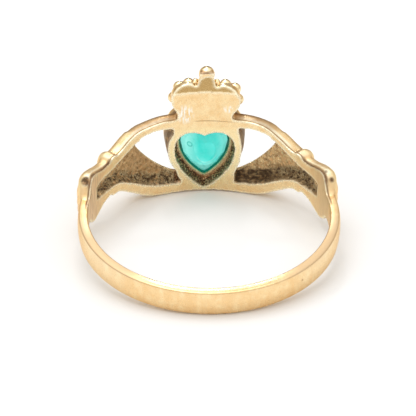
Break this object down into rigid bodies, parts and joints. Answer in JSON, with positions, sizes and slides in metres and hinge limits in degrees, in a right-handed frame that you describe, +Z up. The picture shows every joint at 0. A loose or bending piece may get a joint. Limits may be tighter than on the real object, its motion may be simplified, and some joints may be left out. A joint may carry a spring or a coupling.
{
  "type": "claddagh ring",
  "caption": "Yellow gold claddagh ring: a plain band whose cuffed hands hold a crowned heart set with a green stone. Worn on a finger.",
  "frame": {"origin": "centre of the finger hole, in the middle of the band's width", "axes": "+X from one hand to the other, +Y along the table from the back of the band towards the heart and crown, +Z up from the table that the ring lies on. The finger hole's axis leans 8.73 degrees from +Z towards -Y, because the hands reach lower than the band."},
  "size_m": [0.019, 0.0208, 0.0106],
  "materials": {
    "gold": "pale yellow gold, polished edges, satin finger side, brown patina in the recesses",
    "stone": "faceted translucent blue-green stone"
  },
  "bodies": {
    "root": {"ring_casting": "gold", "heart_stone": "stone"}
  },
  "joints": []
}
